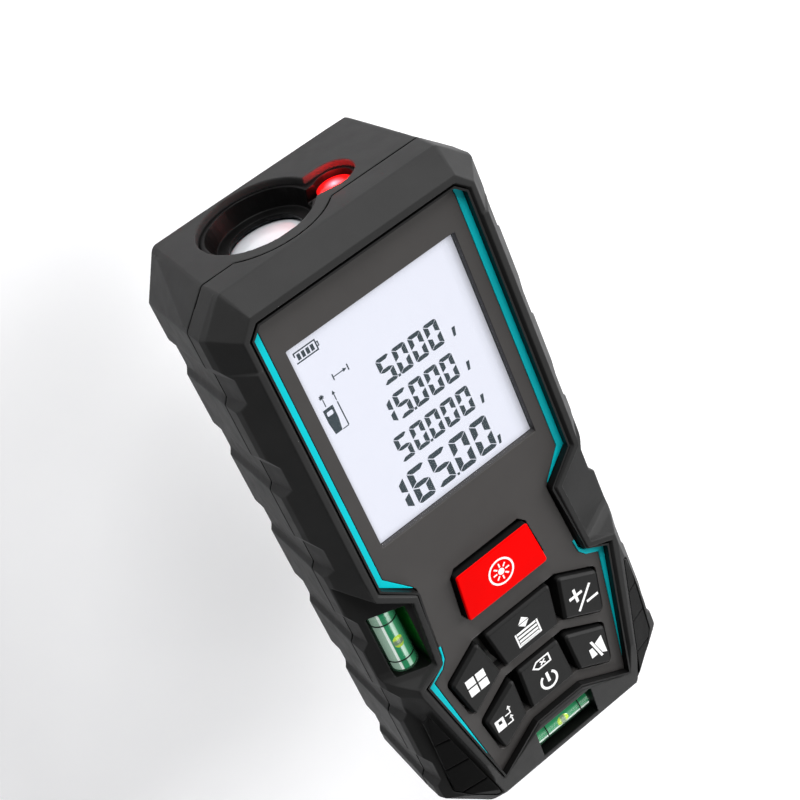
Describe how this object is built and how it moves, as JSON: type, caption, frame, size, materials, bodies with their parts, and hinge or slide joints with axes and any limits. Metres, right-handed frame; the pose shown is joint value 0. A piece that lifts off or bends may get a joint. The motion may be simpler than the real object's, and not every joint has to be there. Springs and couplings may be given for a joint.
{
  "type": "laser distance meter",
  "caption": "Pocket laser distance meter with a display, a rubber keypad, two spirit vials, a keyhole-shaped lens opening and a battery cover.",
  "frame": {"origin": "centre of the bounding box's bottom face, with the meter lying on its back", "axes": "+X across the display, +Y along the body towards the end with the lens, +Z out of the display"},
  "size_m": [0.049, 0.112, 0.0284],
  "materials": {
    "shell": "fine grained matt black over-moulded rubbery plastic",
    "plate": "satin dark grey plastic, very fine grain",
    "accent": "satin cyan plastic",
    "window": "clear polished acrylic",
    "grip": "matt black rubber",
    "red_key": "satin red silicone rubber",
    "key": "satin black silicone rubber",
    "mat": "matt grey silicone",
    "steel": "bright plated steel",
    "board": "green solder mask on glass fibre laminate",
    "chip": "moulded black epoxy",
    "gloss_black": "polished black plastic",
    "lcd": "pale backlit liquid crystal cell with dark segments",
    "light_guide": "frosted clear acrylic light guide",
    "white_frame": "white plastic",
    "lens": "polished coated glass",
    "optics_alloy": "die cast, as cast",
    "brass": "turned",
    "cell": "printed shrink sleeve over a steel can",
    "vial_clear": "clear acrylic",
    "vial_liquid": "green tinted liquid",
    "bubble": "air bubble with yellow green rim"
  },
  "bodies": {
    "case": {"front_shell": "shell", "rear_shell": "shell", "faceplate": "plate", "accent_upper_right": "accent", "accent_upper_left": "accent", "accent_lower_right": "accent", "accent_lower_left": "accent", "display_window": "window", "wedge_pad_right": "grip", "wedge_pad_left": "grip", "keypad_mat": "mat", "dome_sheet": "steel", "main_board": "board", "processor": "chip", "buzzer": "gloss_black", "lcd_glass": "lcd", "lcd_backlight": "light_guide", "lcd_frame": "white_frame", "lcd_connector": "mat", "optics_bezel": "gloss_black", "receiver_lens": "lens", "optics_frame": "optics_alloy", "laser_barrel": "brass", "laser_lens": "lens", "detector_board": "board", "detector_can": "steel", "cell_left": "cell", "cell_right": "cell", "spring_left": "steel", "spring_right": "steel", "bridge_contact": "steel", "contact_left": "steel", "contact_right": "steel", "side_vial_tube": "vial_clear", "side_vial_plug": "vial_clear", "side_vial_liquid": "vial_liquid", "side_vial_holder": "gloss_black", "end_vial_tube": "vial_clear", "end_vial_plug": "vial_clear", "end_vial_liquid": "vial_liquid", "end_vial_holder": "gloss_black", "case_screw_1": "steel", "board_screw_1": "steel", "case_screw_2": "steel", "board_screw_2": "steel", "case_screw_3": "steel", "board_screw_3": "steel", "case_screw_4": "steel", "board_screw_4": "steel"},
    "key_measure": {"key_measure": "red_key"},
    "key_list": {"key_list": "key"},
    "key_power": {"key_power": "key"},
    "key_plus_minus": {"key_plus_minus": "key"},
    "key_modes": {"key_modes": "key"},
    "key_mute": {"key_mute": "key"},
    "key_unit": {"key_unit": "key"},
    "side_bubble": {"side_vial_bubble": "bubble"},
    "end_bubble": {"end_vial_bubble": "bubble"},
    "cover": {"battery_cover": "shell"}
  },
  "joints": [
    {"name": "key_measure_press", "type": "slide", "parent": "case", "child": "key_measure", "axis": [0, 0, -1], "range_m": [0, 0.0008], "stiffness_N_per_m": 150},
    {"name": "key_list_press", "type": "slide", "parent": "case", "child": "key_list", "axis": [0, 0, -1], "range_m": [0, 0.0008], "stiffness_N_per_m": 150},
    {"name": "key_power_press", "type": "slide", "parent": "case", "child": "key_power", "axis": [0, 0, -1], "range_m": [0, 0.0008], "stiffness_N_per_m": 150},
    {"name": "key_plus_minus_press", "type": "slide", "parent": "case", "child": "key_plus_minus", "axis": [0, 0, -1], "range_m": [0, 0.0008], "stiffness_N_per_m": 150},
    {"name": "key_modes_press", "type": "slide", "parent": "case", "child": "key_modes", "axis": [0, 0, -1], "range_m": [0, 0.0008], "stiffness_N_per_m": 150},
    {"name": "key_mute_press", "type": "slide", "parent": "case", "child": "key_mute", "axis": [0, 0, -1], "range_m": [0, 0.0008], "stiffness_N_per_m": 150},
    {"name": "key_unit_press", "type": "slide", "parent": "case", "child": "key_unit", "axis": [0, 0, -1], "range_m": [0, 0.0008], "stiffness_N_per_m": 150},
    {"name": "side_bubble_drift", "type": "slide", "parent": "case", "child": "side_bubble", "axis": [0, 1, 0], "range_m": [-0.0022, 0.0022], "stiffness_N_per_m": 0.02},
    {"name": "end_bubble_drift", "type": "slide", "parent": "case", "child": "end_bubble", "axis": [1, 0, 0], "range_m": [-0.0022, 0.0022], "stiffness_N_per_m": 0.02},
    {"name": "cover_lift", "type": "slide", "parent": "case", "child": "cover", "axis": [0, 0, -1], "range_m": [0, 0.03]}
  ]
}
